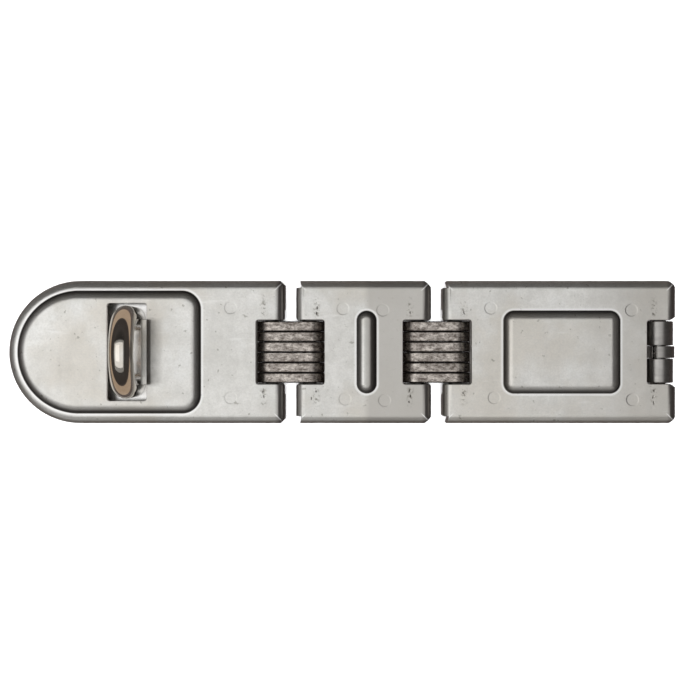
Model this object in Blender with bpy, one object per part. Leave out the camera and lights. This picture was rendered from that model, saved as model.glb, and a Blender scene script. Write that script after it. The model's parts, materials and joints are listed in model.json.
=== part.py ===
"""Double-hinged hasp and staple, folded from steel sheet, with laminated links.

Sizes are in millimetres here and in metres in the meshes.
+X runs along the hasp towards its base hinge, +Y across it, +Z away from the
door. The origin is the bottom centre of the whole object.
"""
import math

import bmesh
import bpy

MM = 0.001

# Folded sheet plates
SHEET = 1.6
PLATE_TOP = 9.0
HALF_WIDTH = 21.0
BEND = 2.8
BEND_STEPS = 4
HASP_X = (-98.5, -17.2)
HASP_END_X = HASP_X[0] + HALF_WIDTH
LINK_X = (-13.8, 26.0)
COVER_X = (29.4, 98.0)

# Raised features: foot fillet, shoulder radius, wall slope in degrees, height
PANEL_SHAPE = (0.4, 3.0, 60.0, 1.75)
PANEL_TOP = PLATE_TOP + PANEL_SHAPE[3]
COVER_PANEL_X = (47.1, 81.4)
COVER_PANEL_HALF = 12.15
COVER_PANEL_CORNER = 3.1
HASP_PANEL_X = (-95.5, -41.7)
HASP_PANEL_HALF = 18.0
HASP_PANEL_CORNER = 5.5
RIB_SHAPE = (0.3, 2.2, 65.0, 1.7)
RIB_X = 6.95
RIB_HALF_WIDTH = 2.9
RIB_HALF_LENGTH = 12.1

# Slot for the staple, and the tab beside it
SLOT_X = (-69.0, -57.4)
SLOT_HALF = 14.3
SLOT_CORNER = 0.8
TAB_X = -58.85
TAB_HALF = 9.5
TAB_TOP = 12.7
TAB_BEND = 1.5

# Notches for the links and for the base hinge
NOTCH_DEPTH = 8.4
NOTCH_HALF = 9.5
NOTCH_CORNER = 0.8
HINGE_NOTCH_DEPTH = 8.7
HINGE_NOTCH_HALF = 9.4
HINGE_NOTCH_FLARE = (1.8, 1.0)
CORNER_CHAMFER = 1.9
HASP_CHAMFER = 1.2
RELIEF_TOP = 6.5
RELIEF_HALF = 12.6

# Link packs
PIN_INSET = 3.9
PIN_Z = 4.5
PIN_RADIUS = 2.0
PIN_HALF_LENGTH = 12.9
HOLE_RADIUS = 2.1
LEAF_COUNT = 6
LEAF_THICK = 2.94
LEAF_PITCH = 3.04
LEAF_RADIUS = 4.35

# Pin brackets, measured inwards from a plate's edge
EAR_Y = (9.3, 12.3)
BRACKET_Z = (4.8, 7.1)
EAR_FRONT = 0.5
EAR_BOTTOM = 0.8
EAR_LENGTH = 12.6
WEB_X = (9.2, 12.0)
WEB_LIP = (8.55, 1.9)
FOOT_X = (10.0, 15.6)
FOOT_Y = 17.5

# Base hinge
HINGE_X = 94.0
LEAF_SHEET = 2.0
KNUCKLE_Y = (2.0, 9.1)
LEAF_X = (42.0, 89.0)
LEAF_HALF = 18.9
LEAF_CORNER = 6.0
TONGUE_SHEET = 2.4
TONGUE_HALF = 1.75
TONGUE_BEND = 0.7
TONGUE_PLATE_X = (83.6, 88.4)
HINGE_PIN_HALF_LENGTH = 10.0
FLANGE_END_Z = 2.5

# Staple
STAPLE_X = -62.7
STAPLE_WIRE = 3.55
STAPLE_LEG_Y = 9.95
STAPLE_BOW_Z = 17.6
TENON_RADIUS = 2.7
TENON_HOLE = 3.0
STAPLE_PLATE_X = (-96.1, -36.5)
STAPLE_PLATE_HALF = 18.7
STAPLE_PLATE_TOP = 2.3

# Countersunk screw holes
SCREW_RADIUS = 2.4
SINK_RADIUS = 4.4
LEAF_SCREWS = ((47.0, 12.0), (47.0, -12.0), (64.5, 0.0), (82.0, 12.0), (82.0, -12.0))
STAPLE_SCREWS = ((-84.0, 10.0), (-84.0, -10.0), (-46.0, 11.5), (-46.0, -11.5))

GAP = 0.3
ROUND_STEPS = 24


# ---------------------------------------------------------------- outlines

def arc(centre_x, centre_y, radius, start, end, steps):
    """Points on a circle between two angles in degrees."""
    points = []
    for step in range(steps + 1):
        angle = math.radians(start + (end - start) * step / steps)
        points.append((centre_x + radius * math.cos(angle), centre_y + radius * math.sin(angle)))
    return points


def rectangle(x_range, half, inset=0.0):
    """A sharp rectangle, anticlockwise."""
    low, high = x_range[0] + inset, x_range[1] - inset
    half -= inset
    return [(low, -half), (high, -half), (high, half), (low, half)]


def rounded(x_range, half, corner, inset=0.0, steps=5):
    """A rectangle with rounded corners, anticlockwise."""
    radius = max(corner - inset, 0.05)
    low, high = x_range[0] + inset + radius, x_range[1] - inset - radius
    side = half - inset - radius
    return (arc(high, side, radius, 0, 90, steps) + arc(low, side, radius, 90, 180, steps)
            + arc(low, -side, radius, 180, 270, steps) + arc(high, -side, radius, 270, 360, steps))


def round_end(x_range, centre_x, half, corner, inset=0.0, steps=20):
    """A D shape: a round left end and two corners at the right, anticlockwise."""
    radius = half - inset
    points = arc(centre_x, 0.0, radius, 90, 270, steps)
    right = x_range[1] - inset
    if corner == 0.0:
        return points + [(right, -radius), (right, radius)]
    fillet = corner - inset
    points += arc(right - fillet, -radius + fillet, fillet, 270, 360, 5)
    return points + arc(right - fillet, radius - fillet, fillet, 0, 90, 5)


def obround(inset, steps=8):
    """The rib's outline, long in Y, anticlockwise."""
    radius = RIB_HALF_WIDTH - inset
    centre = RIB_HALF_LENGTH - RIB_HALF_WIDTH
    return (arc(RIB_X, centre, radius, 0, 180, steps)
            + arc(RIB_X, -centre, radius, 180, 360, steps))


def circle(centre_x, centre_y, radius, steps=ROUND_STEPS):
    return arc(centre_x, centre_y, radius, 0, 360, steps)[:-1]


# ------------------------------------------------------------------ meshes

def finish(name, mesh_data, material):
    """Turn a bmesh in millimetres into a named object in metres."""
    mesh_data.normal_update()
    bmesh.ops.scale(mesh_data, vec=(MM, MM, MM), verts=mesh_data.verts)
    mesh = bpy.data.meshes.new(name)
    mesh_data.to_mesh(mesh)
    mesh_data.free()
    item = bpy.data.objects.new(name, mesh)
    bpy.context.scene.collection.objects.link(item)
    if material:
        mesh.materials.append(material)
    mesh.shade_smooth()
    mesh.set_sharp_from_angle(angle=math.radians(32))
    return item


def ring(mesh_data, points, place):
    return [mesh_data.verts.new(place(first, second)) for first, second in points]


def bridge(mesh_data, first, second):
    """Quads between two rings of the same count."""
    count = len(first)
    for index in range(count):
        after = (index + 1) % count
        mesh_data.faces.new((first[index], first[after], second[after], second[index]))


def add_prism(mesh_data, points, start, end, axis="Z"):
    """A closed prism: an XY outline along Z, or an XZ outline along Y."""
    if axis == "Z":
        low = ring(mesh_data, points, lambda x, y: (x, y, start))
        high = ring(mesh_data, points, lambda x, y: (x, y, end))
    else:
        low = ring(mesh_data, points, lambda x, z: (x, end, z))
        high = ring(mesh_data, points, lambda x, z: (x, start, z))
    bridge(mesh_data, low, high)
    mesh_data.faces.new(list(reversed(low)))
    mesh_data.faces.new(high)


def prism(name, points, start, end, axis="Z", material=None):
    mesh_data = bmesh.new()
    add_prism(mesh_data, points, start, end, axis)
    return finish(name, mesh_data, material)


def prisms(name, shapes, start, end, axis="Z"):
    """Several separate prisms in one cutter."""
    mesh_data = bmesh.new()
    for points in shapes:
        add_prism(mesh_data, points, start, end, axis)
    return finish(name, mesh_data, None)


def apply_boolean(item, tool, operation):
    tool.hide_render = True
    tool.display_type = "WIRE"
    modifier = item.modifiers.new(f"{operation.lower()} {tool.name}", "BOOLEAN")
    modifier.operation = operation
    modifier.object = tool


def cut(item, *tools):
    for tool in tools:
        apply_boolean(item, tool, "DIFFERENCE")


def weld(item, *tools):
    for tool in tools:
        apply_boolean(item, tool, "UNION")


def material(name, color, roughness, metallic):
    item = bpy.data.materials.new(name)
    item.use_nodes = True
    shader = item.node_tree.nodes["Principled BSDF"]
    shader.inputs["Base Color"].default_value = (*color, 1.0)
    shader.inputs["Roughness"].default_value = roughness
    shader.inputs["Metallic"].default_value = metallic
    item.diffuse_color = (*color, 1.0)
    return item


# ----------------------------------------------------------- pressed sheets

def flange_profile(back):
    """Inset and height from a flange's lower edge, round its bend to the top.

    The front profile is the outer face; the back one is a sheet's thickness in.
    """
    radius = BEND - back
    profile = [(back, 0.0)]
    for step in range(BEND_STEPS + 1):
        angle = math.radians(90.0 * step / BEND_STEPS)
        profile.append((BEND - radius * math.cos(angle), PLATE_TOP - BEND + radius * math.sin(angle)))
    return profile


def raised_profile(back, fillet, shoulder, slope, height, steps=4):
    """Inset and height from a raised feature's foot, up its wall to its top."""
    slope = math.radians(slope)
    straight = (height - (fillet + shoulder) * (1.0 - math.cos(slope))) / math.sin(slope)
    width = (fillet + shoulder) * math.sin(slope) + straight * math.cos(slope)
    foot = []
    rim = []
    for step in range(steps + 1):
        angle = slope * step / steps
        foot.append(((fillet + back) * math.sin(angle),
                     PLATE_TOP + fillet - (fillet + back) * math.cos(angle)))
        angle = slope - angle
        rim.append((width - (shoulder - back) * math.sin(angle),
                    PLATE_TOP + height - shoulder + (shoulder - back) * math.cos(angle)))
    return foot + rim


def stack(mesh_data, outline, profile):
    """Rings of one outline at each inset and height, joined by quads."""
    rings = [ring(mesh_data, outline(inset), lambda x, y: (x, y, height)) for inset, height in profile]
    for first, second in zip(rings, rings[1:]):
        bridge(mesh_data, first, second)
    return rings


def pressed_sheet(name, outline, feature, shape, sheet_material):
    """A folded cover with flanges, a flat top and one feature pressed up out of it."""
    mesh_data = bmesh.new()
    lower_edges = []
    for back in (0.0, SHEET):
        rims = stack(mesh_data, outline, flange_profile(back))
        walls = stack(mesh_data, feature, raised_profile(back, *shape))
        edges = []
        for loop in (rims[-1], walls[0]):
            for index, corner in enumerate(loop):
                edges.append(mesh_data.edges.get((corner, loop[(index + 1) % len(loop)])))
        bmesh.ops.triangle_fill(mesh_data, use_beauty=True, edges=edges)
        mesh_data.faces.new(walls[-1])
        lower_edges.append(rims[0])
    bridge(mesh_data, *lower_edges)
    bmesh.ops.recalc_face_normals(mesh_data, faces=mesh_data.faces)
    return finish(name, mesh_data, sheet_material)


def notch(edge, inward, depth, half, flare=(0.4, 0.4)):
    """A notch open at a plate's edge; inward is +1 or -1 along X."""
    inner = edge + inward * (depth - NOTCH_CORNER)
    side = half - NOTCH_CORNER
    mouth = [(edge - inward * 2.0, half + flare[1]), (edge, half + flare[1]), (edge + inward * flare[0], half)]
    points = [(x, -y) for x, y in mouth]
    points += [(inner + inward * dx, dy - side) for dx, dy in arc(0, 0, NOTCH_CORNER, -90, 0, 4)]
    points += [(inner + inward * dx, dy + side) for dx, dy in arc(0, 0, NOTCH_CORNER, 0, 90, 4)]
    points += reversed(mouth)
    return points if inward > 0 else list(reversed(points))


def flange_relief(edge, inward):
    """The end flange's opening for the bracket ears."""
    return rectangle(sorted((edge - inward, edge + inward * (SHEET + 0.4))), RELIEF_HALF)


def corner_chamfer(edge, inward, side, reach=CORNER_CHAMFER):
    """A triangle that takes the sharp outer corner off."""
    points = [(edge - inward * 2.0, side * (HALF_WIDTH + 2.0)),
              (edge + inward * (reach + 2.0), side * (HALF_WIDTH + 2.0)),
              (edge - inward * 2.0, side * (HALF_WIDTH - reach - 2.0))]
    return points if inward * side < 0 else list(reversed(points))


def corner_relief(edge, side):
    """The open corner between two flanges at a plate's left end."""
    offsets = [(-1.0, 1.0), (1.1, 1.0), (1.1, 0.0), (1.6, -1.6), (1.6, -2.1), (-1.0, -2.1)]
    points = [(edge + dx, side * (HALF_WIDTH + dy)) for dx, dy in offsets]
    return points if side < 0 else list(reversed(points))


def tab_outline(steps=5):
    """The tab bent up out of the raised panel beside the slot, seen along Y."""
    overlap = 0.01
    floor = PANEL_TOP + overlap
    centre_x = TAB_X + SHEET + TAB_BEND
    foot_x = centre_x + 0.8
    points = [(foot_x, floor - SHEET), (foot_x, floor)]
    points += arc(centre_x, floor + TAB_BEND, TAB_BEND, 270, 180, steps)
    points += [(TAB_X + SHEET, TAB_TOP), (TAB_X, TAB_TOP)]
    return points + arc(centre_x, floor + TAB_BEND, TAB_BEND + SHEET, 180, 270, steps)


def build_cover_plate(zinc):
    cover = pressed_sheet(
        "cover_plate",
        lambda inset: rectangle(COVER_X, HALF_WIDTH, inset),
        lambda inset: rounded(COVER_PANEL_X, COVER_PANEL_HALF, COVER_PANEL_CORNER, inset),
        PANEL_SHAPE, zinc)
    notches = prisms("cut_cover_notches", [
        notch(COVER_X[0], 1, NOTCH_DEPTH, NOTCH_HALF),
        notch(COVER_X[1], -1, HINGE_NOTCH_DEPTH, HINGE_NOTCH_HALF, HINGE_NOTCH_FLARE)], -2.0, 14.0)
    reliefs = prism("cut_cover_ears", flange_relief(COVER_X[0], 1), -2.0, RELIEF_TOP)
    corners = prisms("cut_cover_corners", [
        corner_relief(COVER_X[0], 1), corner_relief(COVER_X[0], -1),
        corner_chamfer(COVER_X[1], -1, 1), corner_chamfer(COVER_X[1], -1, -1)], -2.0, 14.0)
    swing = [(HINGE_X, -1.0), (COVER_X[1] + 1.0, -1.0), (COVER_X[1] + 1.0, FLANGE_END_Z),
             (COVER_X[1], FLANGE_END_Z), (HINGE_X, 0.0)]
    heel = prism("cut_cover_heel", swing, -HALF_WIDTH - 2.0, HALF_WIDTH + 2.0, "Y")
    cut(cover, notches, reliefs, corners, heel)


def build_link_plate(zinc):
    link = pressed_sheet(
        "link_plate",
        lambda inset: rectangle(LINK_X, HALF_WIDTH, inset),
        obround,
        RIB_SHAPE, zinc)
    notches = prisms("cut_link_notches", [
        notch(LINK_X[0], 1, NOTCH_DEPTH, NOTCH_HALF),
        notch(LINK_X[1], -1, NOTCH_DEPTH, NOTCH_HALF)], -2.0, 14.0)
    reliefs = prisms("cut_link_ears", [
        flange_relief(LINK_X[0], 1), flange_relief(LINK_X[1], -1)], -2.0, RELIEF_TOP)
    corners = prisms("cut_link_corners", [
        corner_relief(LINK_X[0], 1), corner_relief(LINK_X[0], -1),
        corner_chamfer(LINK_X[1], -1, 1), corner_chamfer(LINK_X[1], -1, -1)], -2.0, 14.0)
    cut(link, notches, reliefs, corners)


def build_hasp_plate(zinc):
    hasp = pressed_sheet(
        "hasp_plate",
        lambda inset: round_end(HASP_X, HASP_END_X, HALF_WIDTH, 0.0, inset),
        lambda inset: round_end(HASP_PANEL_X, HASP_PANEL_X[0] + HASP_PANEL_HALF,
                                HASP_PANEL_HALF, HASP_PANEL_CORNER, inset),
        PANEL_SHAPE, zinc)
    notch_cut = prism("cut_hasp_notch", notch(HASP_X[1], -1, NOTCH_DEPTH, NOTCH_HALF), -2.0, 14.0)
    relief = prism("cut_hasp_ears", flange_relief(HASP_X[1], -1), -2.0, RELIEF_TOP)
    corners = prisms("cut_hasp_corners", [
        corner_chamfer(HASP_X[1], -1, 1, HASP_CHAMFER),
        corner_chamfer(HASP_X[1], -1, -1, HASP_CHAMFER)], -2.0, 14.0)
    slot = prism("cut_hasp_slot", rounded(SLOT_X, SLOT_HALF, SLOT_CORNER), -2.0, 14.0)
    tab = prism("join_hasp_tab", tab_outline(), -TAB_HALF, TAB_HALF, "Y")
    cut(hasp, notch_cut, relief, corners, slot)
    weld(hasp, tab)


# ------------------------------------------------------------- link packs

def hinge_axes():
    """The X position of each link pin, from left to right."""
    return {"hasp": HASP_X[1] - PIN_INSET, "link_left": LINK_X[0] + PIN_INSET,
            "link_right": LINK_X[1] - PIN_INSET, "cover": COVER_X[0] + PIN_INSET}


def pin_mesh(name, x, half_length, pin_material):
    """A pin along Y with slightly domed ends."""
    sections = [(-half_length, 0.6), (-half_length + 0.4, 1.0),
                (half_length - 0.4, 1.0), (half_length, 0.6)]
    mesh_data = bmesh.new()
    rings = []
    for y, share in sections:
        points = circle(x, PIN_Z, PIN_RADIUS * share)
        rings.append(ring(mesh_data, points, lambda px, pz: (px, y, pz)))
    for first, second in zip(rings, rings[1:]):
        bridge(mesh_data, list(reversed(first)), list(reversed(second)))
    mesh_data.faces.new(rings[0])
    mesh_data.faces.new(list(reversed(rings[-1])))
    bmesh.ops.recalc_face_normals(mesh_data, faces=mesh_data.faces)
    return finish(name, mesh_data, pin_material)


def leaf_outline(left, right):
    return (arc(right, PIN_Z, LEAF_RADIUS, -90, 90, 12)
            + arc(left, PIN_Z, LEAF_RADIUS, 90, 270, 12))


def build_leaves(pack, left, right, bores, leaf_material):
    for index in range(LEAF_COUNT):
        centre = (index - (LEAF_COUNT - 1) / 2) * LEAF_PITCH
        leaf = prism(f"leaf_{pack}_{index + 1}", leaf_outline(left, right),
                     centre - LEAF_THICK / 2, centre + LEAF_THICK / 2, "Y", leaf_material)
        cut(leaf, *bores)


def build_bracket(name, edge, inward, bore, bracket_material):
    """A bracket welded under a plate's end: two ears, a web and two feet."""
    low, high = BRACKET_Z

    def along(distance):
        return edge + inward * distance

    ear = [(EAR_FRONT, 2.2), (1.9, EAR_BOTTOM), (6.5, EAR_BOTTOM), (11.8, low), (EAR_LENGTH, low),
           (EAR_LENGTH, high), (2.9, high), (1.9, 6.2), (EAR_FRONT, 6.2)]
    ear_points = [(along(distance), z) for distance, z in ear]
    if inward < 0:
        ear_points.reverse()
    mesh_data = bmesh.new()
    add_prism(mesh_data, ear_points, EAR_Y[0], EAR_Y[1], "Y")
    add_prism(mesh_data, ear_points, -EAR_Y[1], -EAR_Y[0], "Y")
    bracket = finish(name, mesh_data, bracket_material)
    web_section = [(WEB_LIP[0], EAR_BOTTOM), (WEB_X[1], EAR_BOTTOM), (WEB_X[1], high),
                   (WEB_X[0], high), (WEB_X[0], WEB_LIP[1]), (WEB_LIP[0], WEB_LIP[1])]
    web_points = [(along(distance), z) for distance, z in web_section]
    if inward < 0:
        web_points.reverse()
    web = prism(f"join_{name}_web", web_points, -EAR_Y[0] - 0.5, EAR_Y[0] + 0.5, "Y")
    foot_x = sorted((along(FOOT_X[0]), along(FOOT_X[1])))
    feet = []
    for side in (-1, 1):
        near, far = sorted((side * (EAR_Y[1] - 0.5), side * FOOT_Y))
        feet.append([(foot_x[0], near), (foot_x[1], near), (foot_x[1], far), (foot_x[0], far)])
    foot = prisms(f"join_{name}_feet", feet, low, high)
    weld(bracket, web, foot)
    cut(bracket, bore)


def build_links(steel, leaf_steel, pin_steel):
    bores = {}
    for name, x in hinge_axes().items():
        bores[name] = prism(f"cut_bore_{name}", circle(x, PIN_Z, HOLE_RADIUS), -20.0, 20.0, "Y")
        pin_mesh(f"pin_{name}", x, PIN_HALF_LENGTH, pin_steel)
    axes = hinge_axes()
    build_leaves("left", axes["hasp"], axes["link_left"], (bores["hasp"], bores["link_left"]), leaf_steel)
    build_leaves("right", axes["link_right"], axes["cover"],
                 (bores["link_right"], bores["cover"]), leaf_steel)
    build_bracket("bracket_hasp", HASP_X[1], -1, bores["hasp"], steel)
    build_bracket("bracket_link_left", LINK_X[0], 1, bores["link_left"], steel)
    build_bracket("bracket_link_right", LINK_X[1], -1, bores["link_right"], steel)
    build_bracket("bracket_cover", COVER_X[0], 1, bores["cover"], steel)


# -------------------------------------------------------------- base hinge

def thick_strip(path, thickness):
    """The closed outline of a strip whose middle line is the given path."""
    left, right = [], []
    for index, (x, z) in enumerate(path):
        before = path[max(index - 1, 0)]
        after = path[min(index + 1, len(path) - 1)]
        dx, dz = after[0] - before[0], after[1] - before[1]
        length = math.hypot(dx, dz)
        nx, nz = -dz / length * thickness / 2, dx / length * thickness / 2
        left.append((x + nx, z + nz))
        right.append((x - nx, z - nz))
    return right + list(reversed(left))


def screw_sinks(name, places, top):
    """Countersunk holes: a shank through the plate under a cone at its top."""
    mesh_data = bmesh.new()
    sections = [(-1.0, SCREW_RADIUS), (top - (SINK_RADIUS - SCREW_RADIUS) * 0.8, SCREW_RADIUS),
                (top + 0.2, SINK_RADIUS + 0.25), (top + 1.0, SINK_RADIUS + 0.25)]
    for x, y in places:
        rings = []
        for z, radius in sections:
            rings.append(ring(mesh_data, circle(x, y, radius), lambda px, py: (px, py, z)))
        for first, second in zip(rings, rings[1:]):
            bridge(mesh_data, first, second)
        mesh_data.faces.new(list(reversed(rings[0])))
        mesh_data.faces.new(rings[-1])
    return finish(name, mesh_data, None)


def build_mounting_leaf(steel):
    """A flat leaf whose two strips roll round the hinge pin."""
    radius = HOLE_RADIUS + LEAF_SHEET / 2
    middle = LEAF_SHEET / 2
    path = [(LEAF_X[1] - 4.0, middle), (LEAF_X[1] + 1.0, middle)]
    path += arc(HINGE_X, PIN_Z, radius, -90, 200, 29)
    outline = thick_strip(path, LEAF_SHEET)
    plate = prism("mounting_leaf", rounded(LEAF_X, LEAF_HALF, LEAF_CORNER), 0.0, LEAF_SHEET,
                  material=steel)
    near, far = KNUCKLE_Y
    for side, y_range in (("left", (-far, -near)), ("right", (near, far))):
        weld(plate, prism(f"join_knuckle_{side}", outline, *y_range, "Y"))
    cut(plate, screw_sinks("cut_leaf_screws", LEAF_SCREWS, LEAF_SHEET))


def build_hinge_tongue(steel):
    """A bracket under the cover's end with a tongue rolled over the hinge pin."""
    high = PLATE_TOP - SHEET - GAP
    low = high - TONGUE_SHEET
    radius = HOLE_RADIUS + TONGUE_SHEET / 2
    middle = (low + high) / 2
    plate = prism("hinge_tongue", rectangle(TONGUE_PLATE_X, FOOT_Y), low, high, material=steel)
    drop = TONGUE_SHEET / 2 + TONGUE_BEND
    path = [(TONGUE_PLATE_X[1] - 3.0, middle)]
    path += arc(HINGE_X - radius - drop, middle - drop, drop, 90, 0, 6)
    path += arc(HINGE_X, PIN_Z, radius, 190, 470, 28)
    tongue = prism("join_tongue", thick_strip(path, TONGUE_SHEET), -TONGUE_HALF, TONGUE_HALF, "Y")
    weld(plate, tongue)


# ------------------------------------------------------------------ staple

def build_staple_loop(chrome):
    """A round bar bent into a U, its feet reduced to rivet tenons."""
    foot = STAPLE_PLATE_TOP + GAP
    sections = [(STAPLE_LEG_Y, 0.0, 0.0, TENON_RADIUS), (STAPLE_LEG_Y, foot, 0.0, TENON_RADIUS),
                (STAPLE_LEG_Y, foot, 0.0, STAPLE_WIRE)]
    steps = 20
    for step in range(steps + 1):
        angle = math.pi * step / steps
        sections.append((STAPLE_LEG_Y * math.cos(angle), STAPLE_BOW_Z + STAPLE_LEG_Y * math.sin(angle),
                         angle, STAPLE_WIRE))
    sections += [(-STAPLE_LEG_Y, foot, math.pi, STAPLE_WIRE), (-STAPLE_LEG_Y, foot, math.pi, TENON_RADIUS),
                 (-STAPLE_LEG_Y, 0.0, math.pi, TENON_RADIUS)]
    mesh_data = bmesh.new()
    rings = []
    for y, z, angle, radius in sections:
        def place(across, outward, y=y, z=z, angle=angle):
            return (STAPLE_X + across, y + outward * math.cos(angle), z + outward * math.sin(angle))
        rings.append(ring(mesh_data, circle(0.0, 0.0, radius, 20), place))
    for first, second in zip(rings, rings[1:]):
        bridge(mesh_data, first, second)
    mesh_data.faces.new(list(reversed(rings[0])))
    mesh_data.faces.new(rings[-1])
    bmesh.ops.recalc_face_normals(mesh_data, faces=mesh_data.faces)
    finish("staple_loop", mesh_data, chrome)


def build_staple_plate(steel):
    outline = round_end(STAPLE_PLATE_X, STAPLE_PLATE_X[0] + STAPLE_PLATE_HALF,
                        STAPLE_PLATE_HALF, 5.0)
    plate = prism("staple_plate", outline, 0.0, STAPLE_PLATE_TOP, material=steel)
    tenons = prisms("cut_staple_tenons", [
        circle(STAPLE_X, STAPLE_LEG_Y, TENON_HOLE), circle(STAPLE_X, -STAPLE_LEG_Y, TENON_HOLE)],
        -1.0, STAPLE_PLATE_TOP + 1.0)
    cut(plate, tenons, screw_sinks("cut_staple_screws", STAPLE_SCREWS, STAPLE_PLATE_TOP))


def build():
    for item in list(bpy.data.objects):
        bpy.data.objects.remove(item)
    zinc = material("satin_zinc", (0.66, 0.65, 0.62), 0.34, 1.0)
    steel = material("bracket_steel", (0.42, 0.41, 0.39), 0.45, 1.0)
    leaf_steel = material("leaf_steel", (0.5, 0.48, 0.45), 0.4, 1.0)
    pin_steel = material("pin_steel", (0.55, 0.55, 0.54), 0.3, 1.0)
    chrome = material("staple_chrome", (0.4, 0.37, 0.33), 0.16, 1.0)
    build_hasp_plate(zinc)
    build_link_plate(zinc)
    build_cover_plate(zinc)
    build_links(steel, leaf_steel, pin_steel)
    build_mounting_leaf(steel)
    build_hinge_tongue(steel)
    pin_mesh("hinge_pin", HINGE_X, HINGE_PIN_HALF_LENGTH, pin_steel)
    build_staple_loop(chrome)
    build_staple_plate(steel)


build()
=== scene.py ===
"""Looks of the hasp and staple: fine meshes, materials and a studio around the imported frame.

Lengths are in millimetres and angles in degrees, unless a comment says otherwise.
"""
import json
import math

import bmesh
import bpy
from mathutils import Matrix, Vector

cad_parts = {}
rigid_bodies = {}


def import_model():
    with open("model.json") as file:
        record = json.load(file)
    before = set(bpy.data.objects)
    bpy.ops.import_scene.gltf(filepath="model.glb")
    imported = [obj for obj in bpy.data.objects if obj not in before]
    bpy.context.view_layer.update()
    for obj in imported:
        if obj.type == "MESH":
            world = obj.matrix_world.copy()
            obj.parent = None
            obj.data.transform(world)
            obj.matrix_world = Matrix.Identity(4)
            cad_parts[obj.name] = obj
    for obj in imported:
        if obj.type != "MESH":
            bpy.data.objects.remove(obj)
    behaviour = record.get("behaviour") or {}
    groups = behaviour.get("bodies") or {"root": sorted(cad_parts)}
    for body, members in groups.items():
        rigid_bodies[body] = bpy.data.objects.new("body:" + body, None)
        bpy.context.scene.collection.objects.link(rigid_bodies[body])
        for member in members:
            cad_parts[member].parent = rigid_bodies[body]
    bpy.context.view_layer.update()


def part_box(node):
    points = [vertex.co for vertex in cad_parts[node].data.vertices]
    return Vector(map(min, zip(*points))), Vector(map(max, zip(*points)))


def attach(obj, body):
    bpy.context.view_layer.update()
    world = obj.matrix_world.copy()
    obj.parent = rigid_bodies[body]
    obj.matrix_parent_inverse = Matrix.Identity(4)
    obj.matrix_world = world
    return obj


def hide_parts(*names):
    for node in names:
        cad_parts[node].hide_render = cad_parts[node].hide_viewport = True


MM = 0.001
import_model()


def span(node, axis):
    """A node's low and high ends along an axis, in millimetres."""
    low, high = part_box(node)
    return low[axis] / MM, high[axis] / MM


# Folded sheet plates, from the frame
HASP_X = span("hasp_plate", 0)
LINK_X = span("link_plate", 0)
COVER_X = span("cover_plate", 0)
HALF_WIDTH = span("link_plate", 1)[1]
PLATE_TOP = span("link_plate", 2)[1]
HASP_END_X = HASP_X[0] + HALF_WIDTH
SHEET = 1.6
BEND = 2.8

# Raised features: foot fillet, shoulder radius, wall slope in degrees, height
PANEL_SHAPE = (0.4, 3.0, 60.0, 1.75)
PANEL_TOP = PLATE_TOP + PANEL_SHAPE[3]
COVER_PANEL_X = (COVER_X[0] + 17.7, COVER_X[1] - 16.6)
COVER_PANEL_HALF = 12.15
COVER_PANEL_CORNER = 3.1
HASP_PANEL_X = (HASP_X[0] + 3.0, HASP_X[1] - 24.5)
HASP_PANEL_HALF = 18.0
HASP_PANEL_CORNER = 5.5
RIB_SHAPE = (0.3, 2.2, 65.0, 1.7)
RIB_X = LINK_X[0] + 20.75
RIB_HALF_WIDTH = 2.9
RIB_HALF_LENGTH = 12.1

# Slot for the staple, and the tab beside it
SLOT_X = (HASP_X[0] + 29.5, HASP_X[0] + 41.1)
SLOT_HALF = 14.3
SLOT_CORNER = 0.8
TAB_X = HASP_X[0] + 39.65
TAB_BEND = 1.5
TAB_FOOT = 0.8
TAB_SINK = 0.01
TAB_HALF = 9.5
TAB_TOP = span("hasp_plate", 2)[1]

# Notches, corners and the openings for the bracket ears
NOTCH_DEPTH = 8.4
NOTCH_HALF = 9.5
NOTCH_CORNER = 0.8
NOTCH_FLARE = (0.4, 0.4)
HINGE_NOTCH_DEPTH = 8.7
HINGE_NOTCH_HALF = 9.4
HINGE_NOTCH_FLARE = (1.8, 1.0)
CORNER_CHAMFER = 1.9
HASP_CHAMFER = 1.2
CORNER_RELIEF = ((-1.0, 1.0), (1.1, 1.0), (1.1, 0.0), (1.6, -1.6), (1.6, -2.1), (-1.0, -2.1))
RELIEF_TOP = 6.5
RELIEF_HALF = 12.6
RELIEF_PAST_SHEET = 0.4

# Pin brackets, measured inwards from a plate's edge
EAR_Y = (9.3, 12.3)
BRACKET_Z = (4.8, 7.1)
EAR_FRONT = 0.5
EAR_BOTTOM = 0.8
EAR_OUTLINE = ((EAR_FRONT, 2.2), (1.9, EAR_BOTTOM), (6.5, EAR_BOTTOM), (11.8, BRACKET_Z[0]),
               (12.6, BRACKET_Z[0]), (12.6, BRACKET_Z[1]), (2.9, BRACKET_Z[1]), (1.9, 6.2),
               (EAR_FRONT, 6.2))
PIN_INSET = 3.9
WEB_X = (9.2, 12.0)
WEB_LIP = (8.35, 1.9)
FOOT_X = (10.0, 15.6)
FOOT_Y = 17.5
WELD_OVERLAP = 0.5
HOLE_RADIUS = 2.1

# Pin ends: distance in from the end, and share of the radius there
PIN_END = ((0.0, 0.3), (0.1, 0.62), (0.4, 0.9), (0.7, 1.0))

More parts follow.
